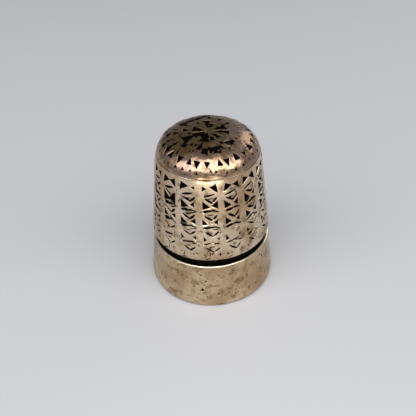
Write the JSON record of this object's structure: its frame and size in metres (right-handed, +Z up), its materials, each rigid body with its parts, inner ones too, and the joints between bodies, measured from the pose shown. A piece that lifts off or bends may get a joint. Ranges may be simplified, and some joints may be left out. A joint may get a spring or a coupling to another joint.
{
  "type": "sewing thimble",
  "caption": "Domed metal sewing thimble with a plain flared rim band, a narrow groove above it, engraved sides and a star-cut crown.",
  "frame": {"origin": "centre of the mouth, on the surface that the thimble stands on", "axes": "+Z up the thimble's axis, from its open mouth to its domed crown"},
  "size_m": [0.0164, 0.0164, 0.0218],
  "materials": {
    "outer_skin": "worn, tarnished silver-gilt, satin with dark cuts",
    "lining": "satin silver-gilt",
    "core": "blackened steel",
    "solder": "dull silver solder"
  },
  "bodies": {
    "root": {"crown_cap": "outer_skin", "crown_solder": "solder", "engraved_shell": "outer_skin", "rim_band": "outer_skin", "steel_core": "core", "inner_lining": "lining", "lip_solder": "solder"}
  },
  "joints": []
}
